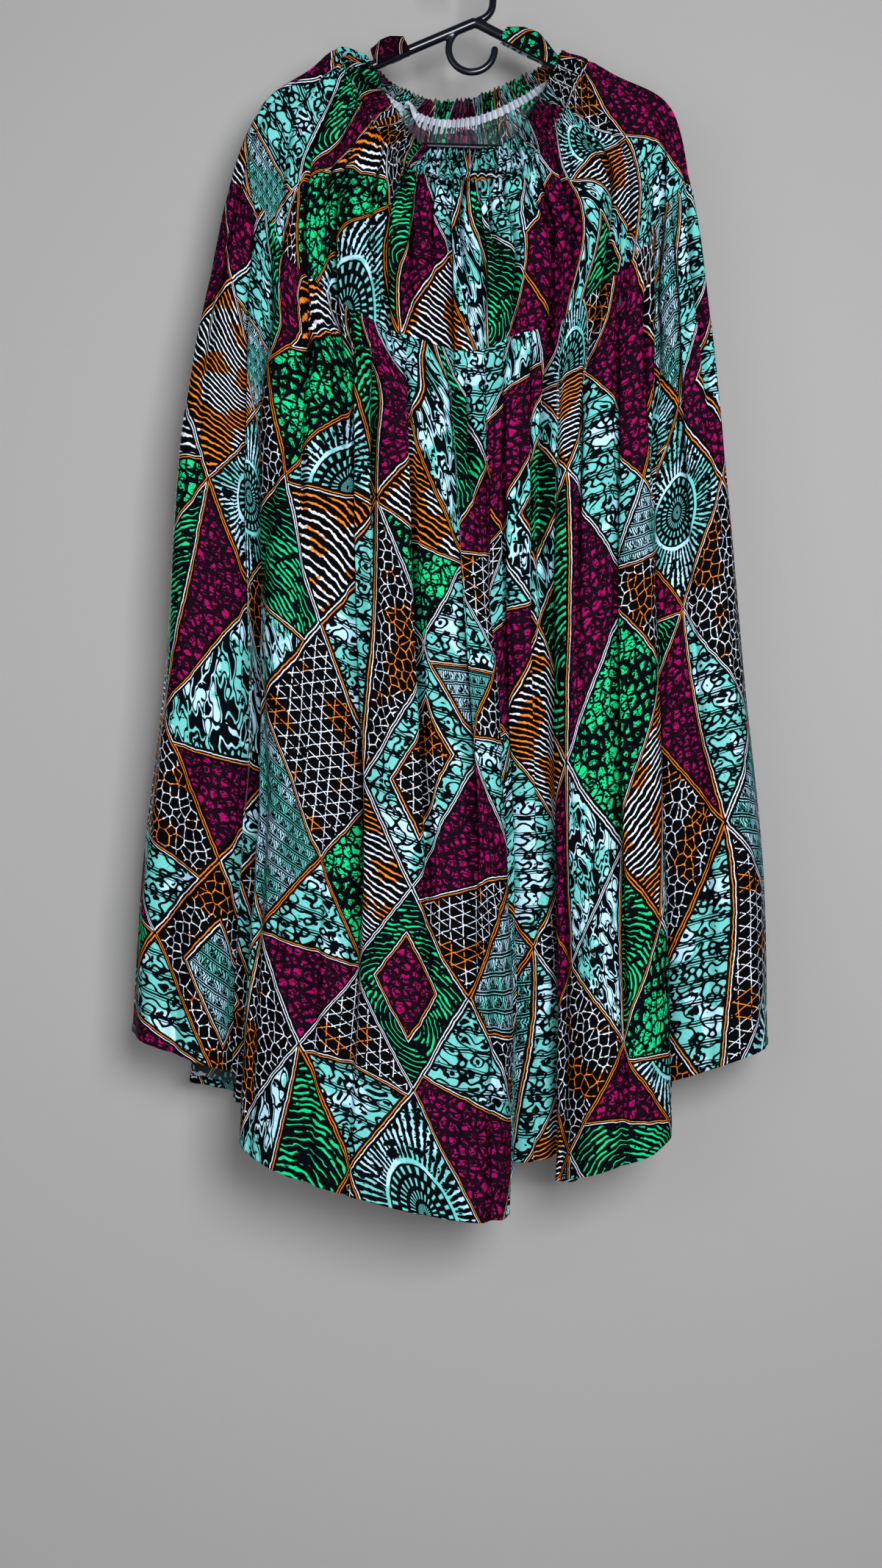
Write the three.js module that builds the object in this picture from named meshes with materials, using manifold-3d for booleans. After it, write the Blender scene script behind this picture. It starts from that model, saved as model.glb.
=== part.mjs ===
// A maxi skirt in printed cotton, gathered on an elastic waist and hung wide on a moulded plastic hanger.
// Millimetres, +Z up. The front faces -Y and +X is on the right of somebody looking at the front.
// The origin is the top of the inside of the hanger's hook, where a rail carries it.

import * as THREE from "three";
import { mergeVertices } from "three/addons/utils/BufferGeometryUtils.js";
import Module from "manifold-3d";

const wasm = await Module();
wasm.setup();

// ---- Driving dimensions ----

const cloth = {
  wall: 1.6, // one layer of cotton with its body
  bandWall: 2.4, // the turned waist casing with the elastic in it
  loopWall: 1.4,
  seamGap: 0.3,
};

// Distances down the cloth from the waist edge.
const cut = { bandDepth: 28, yokeDepth: 195, length: 1050 };

// Mesh steps across each half and down each piece.
const steps = { front: 84, back: 60, band: 1, yoke: 4, skirt: 9 };

// The hanging cloth, section by section: how far down the cloth, where its left and right sides are, and
// the height of each; how far the middle of the front hangs under them, and how that dip is shared out,
// high where it is all in the middle; how far the front and the back stand out of the hanger's plane; how
// far the hem's big folds have opened; and the height of the small pleats.
const levelColumns =
  ["down", "left", "right", "leftTop", "rightTop", "drop", "curve", "front", "back", "folded", "pleat"];
const levels = [
  [0, -108, 88, -111, -107, 100, 2.4, 17, 15, 0, 1.2],
  [28, -136, 113, -104, -115, 127, 2.3, 23, 18, 0, 2.4],
  [60, -165, 140, -126, -131, 141, 2.2, 31, 22, 0.02, 4.5],
  [115, -209, 192, -161, -163, 162, 1.9, 41, 26, 0.08, 6.5],
  [195, -240, 215, -236, -239, 173, 1.7, 52, 31, 0.24, 7],
  [330, -270, 236, -365, -370, 172, 1.5, 62, 36, 0.5, 6],
  [500, -296, 254, -530, -536, 176, 1.4, 70, 39, 0.76, 4],
  [690, -308, 271, -722, -730, 171, 1.35, 79, 41, 0.93, 2],
  [880, -330, 290, -911, -922, 157, 1.3, 88, 43, 1, 1],
  [1050, -341, 294, -1083, -1097, 152, 1.3, 94, 45, 1, 0.6],
].map((row) => Object.fromEntries(levelColumns.map((column, i) => [column, row[i]])));
const backLift = 49; // the back's waist edge hangs this much less than the front's
const openRoundness = 0.6; // below 1 squares off the ends of the unfolded oval

// The hem's folds, left to right. left, right: a fold's edges. out: how far its face stands out. hang: how
// much lower it hangs than an even hem. tuckLeft, tuckRight: how far the cloth goes in under that edge,
// negative where it runs on past it.
const halves = {
  front: {
    side: -1,
    pleats: 13,
    floor: -12,
    folds: [
      { left: -341, right: -238, out: 46, hang: -5, tuckLeft: 0, tuckRight: -14 },
      { left: -226, right: 34, out: 94, hang: 15, tuckLeft: 24, tuckRight: 16 },
      { left: 39, right: 82, out: 16, hang: -26, tuckLeft: 0, tuckRight: -6 },
      { left: 84, right: 189, out: 82, hang: 8, tuckLeft: 20, tuckRight: 20 },
      { left: 193, right: 294, out: 44, hang: -7, tuckLeft: 4, tuckRight: 0 },
    ],
  },
  back: {
    side: 1,
    pleats: 11,
    floor: 10,
    folds: [
      { left: -341, right: -226, out: 41, hang: 0, tuckLeft: 0, tuckRight: 15 },
      { left: -216, right: -92, out: 45, hang: 4, tuckLeft: 15, tuckRight: 15 },
      { left: -82, right: 40, out: 44, hang: -3, tuckLeft: 15, tuckRight: 15 },
      { left: 50, right: 172, out: 45, hang: 5, tuckLeft: 15, tuckRight: 15 },
      { left: 182, right: 294, out: 41, hang: 0, tuckLeft: 15, tuckRight: 0 },
    ],
  },
};
const foldShape = { corner: 20, edgeOut: 0.5, cornerOut: 0.93 };

const hanger = {
  tilt: 2, // degrees, right side down
  tube: 5,
  barTube: 3.5,
  slope: 25, // degrees
  drop: 125, // apex to bar
  endRadius: 23,
  hookTube: 3.75,
  hookRadius: 22,
  hookShift: 4.2, // the hook's middle is this far left of the apex
  stemStart: 8,
  stemRadius: 17,
  stemTop: 56,
  hookEnd: 215, // degrees round from the right
  smallTube: 3.6,
  smallRadius: 23,
  smallShift: -2.4,
  smallDrop: 26.8,
  sides: 12,
};

// A cloth loop over each arm. inner, outer: its ends, along the arm from the apex. foot: its lower edge, over
// the arm's axis. crown: its folded top edge at even steps from inner to outer.
const loops = {
  left: { inner: 72, outer: 107, foot: -3, crown: [15, 19, 19, 16] },
  right: { inner: 31, outer: 85, foot: -5, crown: [8, 19, 19, 9] },
};
const loopDepth = 7; // its flaps stand this far each side of the arm's axis

// ---- Curves and interpolation ----

// Cubic through a table's column, with each row's slope taken from its neighbours.
function smooth(table, place, key, at) {
  let i = 0;
  while (i < table.length - 2 && at > table[i + 1][place]) i += 1;
  const slope = (k) => {
    const a = table[Math.max(k - 1, 0)];
    const b = table[Math.min(k + 1, table.length - 1)];
    return (b[key] - a[key]) / (b[place] - a[place]);
  };
  const [p, q] = [table[i], table[i + 1]];
  const span = q[place] - p[place];
  const s = (at - p[place]) / span;
  const keep = 2 * s ** 3 - 3 * s ** 2 + 1;
  const lead = (s ** 3 - 2 * s ** 2 + s) * span * slope(i);
  const trail = (s ** 3 - s ** 2) * span * slope(i + 1);
  return keep * p[key] + (1 - keep) * q[key] + lead + trail;
}

// The edge of one half's hem, from its left side to its right: a rounded pleat for each fold. x and y are
// its plan, and z is how much higher it hangs than an even hem.
function hemPlan({ side, floor, folds }) {
  const { corner, edgeOut, cornerOut } = foldShape;
  const plan = [];
  folds.forEach(({ left, right, out, hang, tuckLeft, tuckRight }, i) => {
    const turn = Math.min(corner, (right - left) / 4);
    const add = (x, y, share = 1) => plan.push(new THREE.Vector3(x, y, -hang * share));
    if (i > 0) {
      add(left + tuckLeft, floor, 0.5);
      add(left, side * edgeOut * out);
    } else add(left, 0, 0);
    add(left + turn, side * cornerOut * out);
    add((left + right) / 2, side * out);
    add(right - turn, side * cornerOut * out);
    if (i < folds.length - 1) {
      add(right, side * edgeOut * out);
      add(right - tuckRight, floor, 0.5);
    } else add(right, 0, 0);
  });
  const curve = new THREE.CatmullRomCurve3(plan, false, "centripetal");
  curve.arcLengthDivisions = 1200;
  return curve;
}

const hem = levels.at(-1);
for (const half of Object.values(halves)) half.plan = hemPlan(half);

// ---- The cloth surface ----

// A point of the smooth cloth: across runs 0 to 1 from the left side to the right, down is along the cloth.
function drapedPoint(name, across, down) {
  const half = halves[name];
  const at = (key) => smooth(levels, "down", key, down);
  const middle = (at("left") + at("right")) / 2;
  const halfWidth = (at("right") - at("left")) / 2;
  const round = Math.sin(Math.PI * across);
  const fold = half.plan.getPointAt(across);
  const hemMiddle = (hem.left + hem.right) / 2;
  const foldX = middle + (halfWidth * (fold.x - hemMiddle)) / ((hem.right - hem.left) / 2);
  const foldY = (fold.y * at(name)) / hem[name];
  const openX = middle - halfWidth * Math.cos(Math.PI * across);
  const openY = half.side * at(name) * round ** openRoundness;
  const share = at("folded");
  const top = THREE.MathUtils.lerp(at("leftTop"), at("rightTop"), across);
  const drop = at("drop") - (name === "back" ? backLift : 0);
  return new THREE.Vector3(
    THREE.MathUtils.lerp(openX, foldX, share),
    THREE.MathUtils.lerp(openY, foldY, share),
    top - drop * round ** at("curve") + share * fold.z,
  );
}

// The unit normal of a surface given by a function of two parameters, and the steps that measure it.
function normalOf(pointAt, a, b, stepA, stepB) {
  const alongA = pointAt(Math.min(a + stepA, 1), b).sub(pointAt(Math.max(a - stepA, 0), b));
  const alongB = pointAt(a, b + stepB).sub(pointAt(a, b - stepB));
  return alongA.cross(alongB).normalize();
}

// The same point with the small pleats that run down from the waist, uneven and fading at the sides.
function clothPoint(name, across, down) {
  const safeDown = THREE.MathUtils.clamp(down, 1, cut.length - 1);
  const point = drapedPoint(name, across, down);
  const normal = normalOf((a, b) => drapedPoint(name, a, b), across, safeDown, 0.004, 1);
  const turn = 2 * Math.PI * halves[name].pleats;
  const wave = Math.sin(turn * across + 0.8 * Math.sin(11 * across) + 0.5 * Math.sin(down / 140));
  const uneven = 1 + 0.35 * Math.sin(23 * across + 1);
  const fade = Math.sin(Math.PI * across) ** 0.6;
  return point.addScaledVector(normal, smooth(levels, "down", "pleat", down) * wave * uneven * fade);
}

// ---- Solids ----

// A closed wall either side of a surface, from a grid of steps in its two parameters.
function shell(pointAt, columns, rows, wall, stepDown = 0.01) {
  const positions = [];
  const index = [];
  for (const face of [0.5, -0.5])
    for (let j = 0; j <= rows; j++)
      for (let i = 0; i <= columns; i++) {
        const [a, b] = [i / columns, j / rows];
        const normal = normalOf(pointAt, a, b, 0.004, stepDown);
        if (i === 0 || i === columns) normal.setY(0).normalize();
        positions.push(...pointAt(a, b).addScaledVector(normal, face * wall).toArray());
      }
  const layer = (columns + 1) * (rows + 1);
  const at = (i, j, k) => k * layer + j * (columns + 1) + i;
  const quad = (a, b, c, d) => index.push(a, b, c, a, c, d);
  for (let j = 0; j < rows; j++)
    for (let i = 0; i < columns; i++) {
      quad(at(i, j, 0), at(i + 1, j, 0), at(i + 1, j + 1, 0), at(i, j + 1, 0));
      quad(at(i, j, 1), at(i, j + 1, 1), at(i + 1, j + 1, 1), at(i + 1, j, 1));
    }
  for (let i = 0; i < columns; i++) {
    quad(at(i, 0, 0), at(i, 0, 1), at(i + 1, 0, 1), at(i + 1, 0, 0));
    quad(at(i, rows, 0), at(i + 1, rows, 0), at(i + 1, rows, 1), at(i, rows, 1));
  }
  for (let j = 0; j < rows; j++) {
    quad(at(0, j, 0), at(0, j + 1, 0), at(0, j + 1, 1), at(0, j, 1));
    quad(at(columns, j, 0), at(columns, j, 1), at(columns, j + 1, 1), at(columns, j + 1, 0));
  }
  const geometry = new THREE.BufferGeometry();
  geometry.setAttribute("position", new THREE.Float32BufferAttribute(positions, 3));
  geometry.setIndex(index);
  return facingOut(geometry);
}

function facingOut(geometry) {
  const p = geometry.attributes.position;
  const index = geometry.index.array;
  const [a, b, c] = [new THREE.Vector3(), new THREE.Vector3(), new THREE.Vector3()];
  let volume = 0;
  for (let i = 0; i < index.length; i += 3) {
    a.fromBufferAttribute(p, index[i]);
    b.fromBufferAttribute(p, index[i + 1]);
    c.fromBufferAttribute(p, index[i + 2]);
    volume += a.dot(b.cross(c));
  }
  if (volume < 0) for (let i = 0; i < index.length; i += 3) [index[i], index[i + 1]] = [index[i + 1], index[i]];
  return geometry;
}

// How far across the cloth reaches half a seam gap from its left side, at a distance down.
function sideGap(name, down) {
  const edge = drapedPoint(name, 0, down);
  let [low, high] = [0, 0.01];
  for (let i = 0; i < 24; i++) {
    const middle = (low + high) / 2;
    if (drapedPoint(name, middle, down).distanceTo(edge) < cloth.seamGap / 2) low = middle;
    else high = middle;
  }
  return high;
}

// One sewn piece: a half of the cloth between two distances down it.
function clothPiece(name, from, to, rows, wall) {
  const pointAt = (a, b) => {
    const down = THREE.MathUtils.lerp(from, to, b);
    const gap = sideGap(name, down);
    return clothPoint(name, THREE.MathUtils.lerp(gap, 1 - gap, a), down);
  };
  return shell(pointAt, steps[name], rows, wall, 2 / (to - from));
}

function toSolid(geometry) {
  geometry.deleteAttribute("normal");
  geometry.deleteAttribute("uv");
  const merged = mergeVertices(geometry, 1e-3);
  const vertProperties = merged.attributes.position.array;
  const triVerts = new Uint32Array(merged.index.array);
  return new wasm.Manifold(new wasm.Mesh({ numProp: 3, vertProperties, triVerts }));
}

function toGeometry(solid) {
  const mesh = solid.getMesh();
  const geometry = new THREE.BufferGeometry();
  geometry.setAttribute("position", new THREE.Float32BufferAttribute(mesh.vertProperties, 3));
  geometry.setIndex([...mesh.triVerts]);
  geometry.computeVertexNormals();
  return geometry;
}

// A round rod along a curve, with a ball at its far end if it has a free one.
function rod(curve, radius, count, ball = false) {
  const section = new THREE.Shape().absarc(0, 0, radius, 0, 2 * Math.PI);
  const sweep = { steps: count, extrudePath: curve, bevelEnabled: false, curveSegments: hanger.sides / 2 };
  const solid = toSolid(new THREE.ExtrudeGeometry(section, sweep));
  if (!ball) return solid;
  const end = new THREE.SphereGeometry(radius, hanger.sides, hanger.sides / 2);
  return solid.add(toSolid(end.translate(...curve.getPoint(1).toArray())));
}

const inPlane = (x, z) => new THREE.Vector3(x, 0, z);

// A straight stretch, with points near its ends that keep a curve through them straight.
const straight = (from, to) => [0, 0.04, 0.96].map((share) => from.clone().lerp(to, share));

// Part of a circle in the hanger's plane, angles in degrees from +X towards +Z.
function arc(x, z, radius, from, to) {
  const points = [];
  const count = Math.ceil(Math.abs(to - from) / 15);
  for (let i = 0; i <= count; i++) {
    const angle = THREE.MathUtils.degToRad(THREE.MathUtils.lerp(from, to, i / count));
    points.push(inPlane(x + radius * Math.cos(angle), z + radius * Math.sin(angle)));
  }
  return points;
}

const slope = THREE.MathUtils.degToRad(hanger.slope);
const apex = inPlane(hanger.hookShift, -(hanger.stemTop + hanger.hookRadius - hanger.hookTube));

// The triangle: two sloping arms that turn round into the lower bar. Its own origin is the apex.
function hangerFrame() {
  const { drop, endRadius: r, tube, barTube } = hanger;
  const endX = (drop - r - r / Math.cos(slope)) / Math.tan(slope);
  const parts = [-1, 1].map((side) => {
    const turn = arc(endX, r - drop, r, 90 - hanger.slope, -90);
    const line = [...straight(inPlane(0, 0), turn[0]), ...turn].map((p) => inPlane(side * p.x, p.z));
    return rod(new THREE.CatmullRomCurve3(line, false, "centripetal"), tube, 30);
  });
  const bar = rod(new THREE.LineCurve3(inPlane(-endX - tube, -drop), inPlane(endX + tube, -drop)), barTube, 1);
  const boss = toSolid(new THREE.SphereGeometry(tube * 1.05, hanger.sides, hanger.sides / 2));
  return parts[0].add(parts[1]).add(bar).add(boss);
}

// The top hook: it leaves the apex along the left arm's line, turns up and goes over to the left.
function hangerHook() {
  const { stemStart, stemRadius, stemTop, hookRadius, hookShift, hookEnd, hookTube } = hanger;
  const startX = stemStart * Math.cos(slope);
  const startZ = stemStart * Math.sin(slope);
  const bendX = startX - stemRadius * Math.sin(slope);
  const bendZ = startZ + stemRadius * Math.cos(slope);
  const bend = arc(bendX, bendZ, stemRadius, hanger.slope - 90, 0);
  const bow = arc(-hookShift, stemTop, hookRadius, 0, hookEnd);
  const line = [inPlane(0, 0), ...bend, ...straight(bend.at(-1), bow[0]).slice(1), ...bow];
  return rod(new THREE.CatmullRomCurve3(line, false, "centripetal"), hookTube, 44, true);
}

// The small open ring under the apex.
function smallHook() {
  const { smallShift, smallDrop, smallRadius, smallTube } = hanger;
  const line = arc(smallShift, -smallDrop, smallRadius, 90, 360);
  return rod(new THREE.CatmullRomCurve3(line, false, "centripetal"), smallTube, 30, true);
}

// A strip folded over an arm: along runs 0 to 1 from its inner end, over runs 0 to 1 from front to back.
function loopPoint({ inner, outer, foot, crown }, side, along, over) {
  const table = crown.map((height, i) => ({ place: i / (crown.length - 1), height }));
  const top = smooth(table, "place", "height", along);
  const lift = Math.max(Math.sin(Math.PI * over), 0) ** 0.8;
  const height = foot + (top - foot) * lift;
  const far = THREE.MathUtils.lerp(inner, outer, along);
  const lean = Math.cos(Math.PI * over);
  const depth = -Math.sign(lean) * loopDepth * Math.abs(lean) ** 0.45;
  const x = far * Math.cos(slope) + height * Math.sin(slope);
  return new THREE.Vector3(side * x, depth, -far * Math.sin(slope) + height * Math.cos(slope));
}

function hangLoop(name, side) {
  const pointAt = (a, b) => loopPoint(loops[name], side, a, b);
  return shell(pointAt, 6, 16, cloth.loopWall);
}

// ---- The group ----

const cotton = new THREE.MeshStandardMaterial({ color: 0x1d5f52, roughness: 0.82, metalness: 0 });
const elasticBand = new THREE.MeshStandardMaterial({ color: 0x17332f, roughness: 0.85, metalness: 0 });
const loopCotton = new THREE.MeshStandardMaterial({ color: 0x4a1236, roughness: 0.82, metalness: 0 });
const plastic = new THREE.MeshStandardMaterial({ color: 0x10131c, roughness: 0.32, metalness: 0 });

function named(name, geometry, material) {
  const mesh = new THREE.Mesh(geometry, material);
  mesh.name = name;
  return mesh;
}

const skirt = new THREE.Group();
for (const name of ["front", "back"]) {
  const gap = cloth.seamGap / 2;
  const { bandDepth, yokeDepth, length } = cut;
  const band = clothPiece(name, 0, bandDepth - gap, steps.band, cloth.bandWall);
  const yoke = clothPiece(name, bandDepth + gap, yokeDepth - gap, steps.yoke, cloth.wall);
  const lower = clothPiece(name, yokeDepth + gap, length, steps.skirt, cloth.wall);
  skirt.add(named(`waistband_${name}`, band, elasticBand));
  skirt.add(named(`yoke_${name}`, yoke, cotton));
  skirt.add(named(`skirt_${name}`, lower, cotton));
}

// The hanger leans a little about its hook, and the loops lie on its arms.
const hung = new THREE.Group();
hung.rotation.y = THREE.MathUtils.degToRad(hanger.tilt);
const atApex = new THREE.Group();
atApex.position.copy(apex);
const oneMoulding = hangerFrame().add(hangerHook()).add(smallHook());
atApex.add(named("hanger", toGeometry(oneMoulding), plastic));
atApex.add(named("hang_loop_left", hangLoop("left", -1), loopCotton));
atApex.add(named("hang_loop_right", hangLoop("right", 1), loopCotton));
hung.add(atApex);

const part = new THREE.Group();
part.add(skirt, hung);

export default part;
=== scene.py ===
from functools import partialmethod
from math import acos, atan2, cos, hypot, pi, radians, sin, tan

import bpy
import numpy as np
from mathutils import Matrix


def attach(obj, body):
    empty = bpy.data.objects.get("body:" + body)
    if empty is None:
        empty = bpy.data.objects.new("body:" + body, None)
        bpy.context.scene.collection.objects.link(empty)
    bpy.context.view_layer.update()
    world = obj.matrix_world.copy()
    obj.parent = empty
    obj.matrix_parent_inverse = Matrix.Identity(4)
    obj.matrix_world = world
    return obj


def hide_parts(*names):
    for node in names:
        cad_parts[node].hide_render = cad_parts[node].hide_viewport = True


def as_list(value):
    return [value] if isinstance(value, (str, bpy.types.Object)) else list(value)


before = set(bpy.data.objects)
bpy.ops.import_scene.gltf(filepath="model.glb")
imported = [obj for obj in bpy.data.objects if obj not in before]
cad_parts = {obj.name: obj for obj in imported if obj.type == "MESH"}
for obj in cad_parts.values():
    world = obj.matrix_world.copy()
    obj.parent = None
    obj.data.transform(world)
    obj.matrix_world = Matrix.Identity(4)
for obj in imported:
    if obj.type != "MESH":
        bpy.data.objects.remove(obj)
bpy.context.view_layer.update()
scene = bpy.context.scene
mm = 0.001

# The hanging cloth by levels, in millimetres as in the part's source: the way down the cloth, its sides and
# their heights, its middle's drop, how far front and back stand out and how open the hem's folds are.
levelColumns = ("down", "left", "right", "leftTop", "rightTop", "drop", "curve", "front", "back", "folded")
levels = np.array([
    (0, -108, 88, -111, -107, 100, 2.4, 17, 15, 0),
    (28, -136, 113, -104, -115, 127, 2.3, 23, 18, 0),
    (60, -165, 140, -126, -131, 141, 2.2, 31, 22, 0.02),
    (115, -209, 192, -161, -163, 162, 1.9, 41, 26, 0.08),
    (195, -240, 215, -236, -239, 173, 1.7, 52, 31, 0.24),
    (330, -270, 236, -365, -370, 172, 1.5, 62, 36, 0.5),
    (500, -296, 254, -530, -536, 176, 1.4, 70, 39, 0.76),
    (690, -308, 271, -722, -730, 171, 1.35, 79, 41, 0.93),
    (880, -330, 290, -911, -922, 157, 1.3, 88, 43, 1),
    (1050, -341, 294, -1083, -1097, 152, 1.3, 94, 45, 1),
], float)
# Where the seams are, and how the two halves differ from the levels.
form = {
    "bandDepth": 28, "tierSeam": 195, "hem": 1050,
    "backLift": 49,  # how much less the back dips
    "backRise": 13,  # and less still at the waist
    "backTip": 17,  # how much the back's waist tips, up towards the right
    "frontDip": 1,  # how much more the front's waist dips
    "frontRound": 0.35,  # how much wider its curve is, most at the right
    "frontFull": 0.2,  # how level it hangs over the hanger's bar
    "fullEdge": 12,  # and how sharply it turns up at the sides
    "waistReach": 110,  # down to here the waist has its own shape
    "roundReach": 150, "openRoundness": 0.6,
    "corner": 20,  # a fold's corners: how far from its edge, and how far out as shares of its face
    "edgeOut": 0.5, "cornerOut": 0.93,
}

# The hem's folds from left to right: a fold's edges, how far its face stands out, how much lower it hangs,
# and how far the cloth goes in under its edges.
foldColumns = ("left", "right", "out", "hang", "tuckLeft", "tuckRight")
halves = {
    "front": {
        "side": -1, "floor": -12,
        "folds": (
            (-341, -238, 46, -5, 0, -14),
            (-226, 34, 94, 15, 24, 16),
            (39, 82, 16, -26, 0, -6),
            (84, 189, 82, 8, 20, 20),
            (193, 294, 44, -7, 4, 0),
        ),
    },
    "back": {
        "side": 1, "floor": 10,
        "folds": (
            (-341, -290, 36, 2, 0, 6),
            (-286, -226, 41, 24, 6, 15),
            (-216, -92, 45, 4, 15, 15),
            (-82, 40, 44, -3, 15, 15),
            (50, 172, 45, 22, 15, 15),
            (182, 294, 41, 0, 15, 0),
        ),
    },
}


def smoothStep(x, start=0, over=1):
    x = np.clip((x - start) / over, 0, 1)
    return x * x * (3 - 2 * x)


def softNoise(x, y, seed, size=64):
    # a smooth random field between -1 and 1 with about one bump for each unit
    x, y = np.broadcast_arrays(np.asarray(x, float), np.asarray(y, float))
    table = np.random.default_rng(seed).uniform(-1, 1, (size, size))
    i, j = np.floor(x).astype(int), np.floor(y).astype(int)
    s, t = smoothStep(x - i), smoothStep(y - j)
    corners = [[table[(i + a) % size, (j + b) % size] for a in (0, 1)] for b in (0, 1)]
    low, high = (first + (second - first) * s for first, second in corners)
    return low + (high - low) * t


def levelAt(key, down):
    # cubic through one column, with each row's slope taken from its neighbours
    places, values = levels[:, 0], levels[:, levelColumns.index(key)]
    slopes = np.gradient(values, places)
    slopes[1:-1] = (values[2:] - values[:-2]) / (places[2:] - places[:-2])
    i = np.clip(np.searchsorted(places, down, side="right") - 1, 0, len(places) - 2)
    span = places[i + 1] - places[i]
    s = (down - places[i]) / span
    keep = 2 * s**3 - 3 * s**2 + 1
    lead = (s**3 - 2 * s**2 + s) * span * slopes[i]
    trail = (s**3 - s**2) * span * slopes[i + 1]
    return keep * values[i] + (1 - keep) * values[i + 1] + lead + trail


def curveThrough(points, perSpan=80):
    # centripetal Catmull-Rom through the points
    points = np.array(points, float)
    ends = np.vstack([2 * points[0] - points[1], points, 2 * points[-1] - points[-2]])
    s = np.linspace(0, 1, perSpan, endpoint=False)[:, None]
    line = []
    for p0, p1, p2, p3 in zip(ends, ends[1:], ends[2:], ends[3:]):
        a, b, c = (np.linalg.norm(q - p) ** 0.5 for p, q in ((p0, p1), (p1, p2), (p2, p3)))
        into = ((p1 - p0) / a - (p2 - p0) / (a + b) + (p2 - p1) / b) * b
        outOf = ((p2 - p1) / b - (p3 - p1) / (b + c) + (p3 - p2) / c) * b
        square, cube = 3 * (p2 - p1) - 2 * into - outOf, 2 * (p1 - p2) + into + outOf
        line.append(p1 + into * s + square * s**2 + cube * s**3)
    return np.vstack(line + [points[-1:]])


def hemPlan(half):
    side, floor = half["side"], half["floor"]
    folds = [dict(zip(foldColumns, row)) for row in half["folds"]]
    plan = []
    for i, fold in enumerate(folds):
        left, right, out, hang = (fold[key] for key in foldColumns[:4])
        turn, middle = min(form["corner"], (right - left) / 4), (left + right) / 2
        edge, corner = side * form["edgeOut"] * out, side * form["cornerOut"] * out
        start = [(left + fold["tuckLeft"], floor, -hang / 2), (left, edge, -hang)]
        face = [(left + turn, corner, -hang), (middle, side * out, -hang), (right - turn, corner, -hang)]
        end = [(right, edge, -hang), (right - fold["tuckRight"], floor, -hang / 2)]
        plan += [(left, 0, 0)] if i == 0 else start
        plan += face
        plan += [(right, 0, 0)] if i == len(folds) - 1 else end
    line = curveThrough(plan)
    along = np.r_[0, np.cumsum(np.linalg.norm(np.diff(line, axis=0), axis=1))]
    return along / along[-1], line


def drapedGrid(name, across, downs):
    # points of the smooth cloth, in millimetres: a row for each way down, a column for each place across
    half = halves[name]
    at = {key: levelAt(key, downs)[:, None] for key in levelColumns[1:]}
    share, line = hemPlan(half)
    foldX, foldY, foldZ = (np.interp(across, share, line[:, k])[None] for k in range(3))
    hem = dict(zip(levelColumns, levels[-1]))
    middle, halfWidth = (at["left"] + at["right"]) / 2, (at["right"] - at["left"]) / 2
    rounded = np.clip(np.sin(pi * across), 0, 1)[None]
    hemMiddle, hemHalf = (hem["left"] + hem["right"]) / 2, (hem["right"] - hem["left"]) / 2
    foldX = middle + halfWidth * (foldX - hemMiddle) / hemHalf
    foldY = foldY * at[name] / hem[name]
    openX = middle - halfWidth * np.cos(pi * across)[None]
    openY = half["side"] * at[name] * rounded ** form["openRoundness"]
    top = at["leftTop"] + (at["rightTop"] - at["leftTop"]) * across[None]
    high = (1 - smoothStep(downs / form["waistReach"]))[:, None]
    if name == "front":
        drop = at["drop"] + form["frontDip"] * high
        rounder = form["frontRound"] * (1 - smoothStep(downs / form["roundReach"]))[:, None]
        sag = rounded ** (at["curve"] - rounder * (0.25 + 0.75 * across[None]))
        full = (1 + form["frontFull"]) * sag
        full = full / (1 + full ** form["fullEdge"]) ** (1 / form["fullEdge"])
        sag = sag + (full - sag) * high
    else:
        sag = rounded ** at["curve"]
        drop = at["drop"] - form["backLift"] - form["backRise"] * high
        drop = drop + form["backTip"] * high * np.cos(pi * across)[None]
    opened = at["folded"]
    return np.stack([
        openX + (foldX - openX) * opened,
        openY + (foldY - openY) * opened,
        top - drop * sag + opened * foldZ,
    ], axis=-1)


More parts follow.
